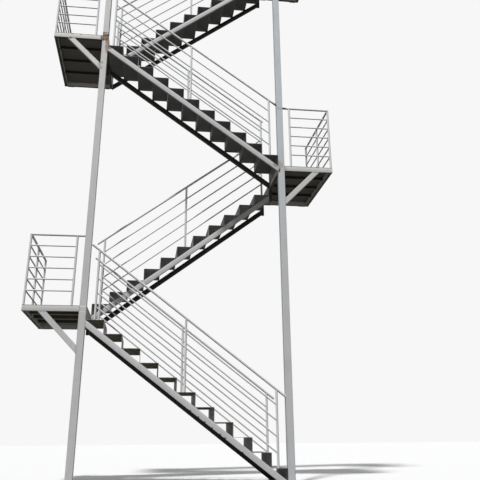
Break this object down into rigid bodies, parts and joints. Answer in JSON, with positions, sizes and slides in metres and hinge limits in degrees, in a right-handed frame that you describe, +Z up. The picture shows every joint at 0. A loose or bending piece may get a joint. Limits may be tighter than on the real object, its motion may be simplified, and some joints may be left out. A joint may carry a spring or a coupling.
{
  "type": "fire escape stair",
  "caption": "Outdoor steel fire escape stair with straight flights, landings, tube railings and two square columns.",
  "frame": {"origin": "middle of the left column's foot, on the underside of its base plate", "axes": "+X along the wall from the left column to the right column, +Y towards the wall, +Z up"},
  "size_m": [4.595, 1.77, 10.235],
  "materials": {
    "columns": "satin",
    "beams": "satin",
    "plates": "satin",
    "railings": "satin"
  },
  "bodies": {
    "root": {"column_left": "columns", "column_right": "columns", "base_plate_left": "columns", "base_plate_right": "columns", "column_caps": "columns", "landing_1_frame": "beams", "landing_1_floor": "plates", "landing_1_brace": "beams", "landing_1_front_railing": "railings", "landing_1_end_railing": "railings", "flight_1_stringers": "beams", "flight_1_steps": "plates", "flight_1_front_railing": "railings", "landing_2_frame": "beams", "landing_2_floor": "plates", "landing_2_brace": "beams", "landing_2_front_railing": "railings", "landing_2_end_railing": "railings", "flight_2_stringers": "beams", "flight_2_steps": "plates", "flight_2_front_railing": "railings", "landing_3_frame": "beams", "landing_3_floor": "plates", "landing_3_brace": "beams", "landing_3_front_railing": "railings", "landing_3_end_railing": "railings", "flight_3_stringers": "beams", "flight_3_steps": "plates", "flight_3_front_railing": "railings", "landing_4_frame": "beams", "landing_4_floor": "plates", "landing_4_brace": "beams", "landing_4_front_railing": "railings", "landing_4_end_railing": "railings", "flight_4_stringers": "beams", "flight_4_steps": "plates", "flight_4_front_railing": "railings", "flight_1_inner_railing": "railings", "flight_3_inner_railing": "railings", "stringer_hangers": "beams", "stringer_foot_plates": "columns", "wall_plates": "beams", "top_landing_guard": "railings"}
  },
  "joints": []
}
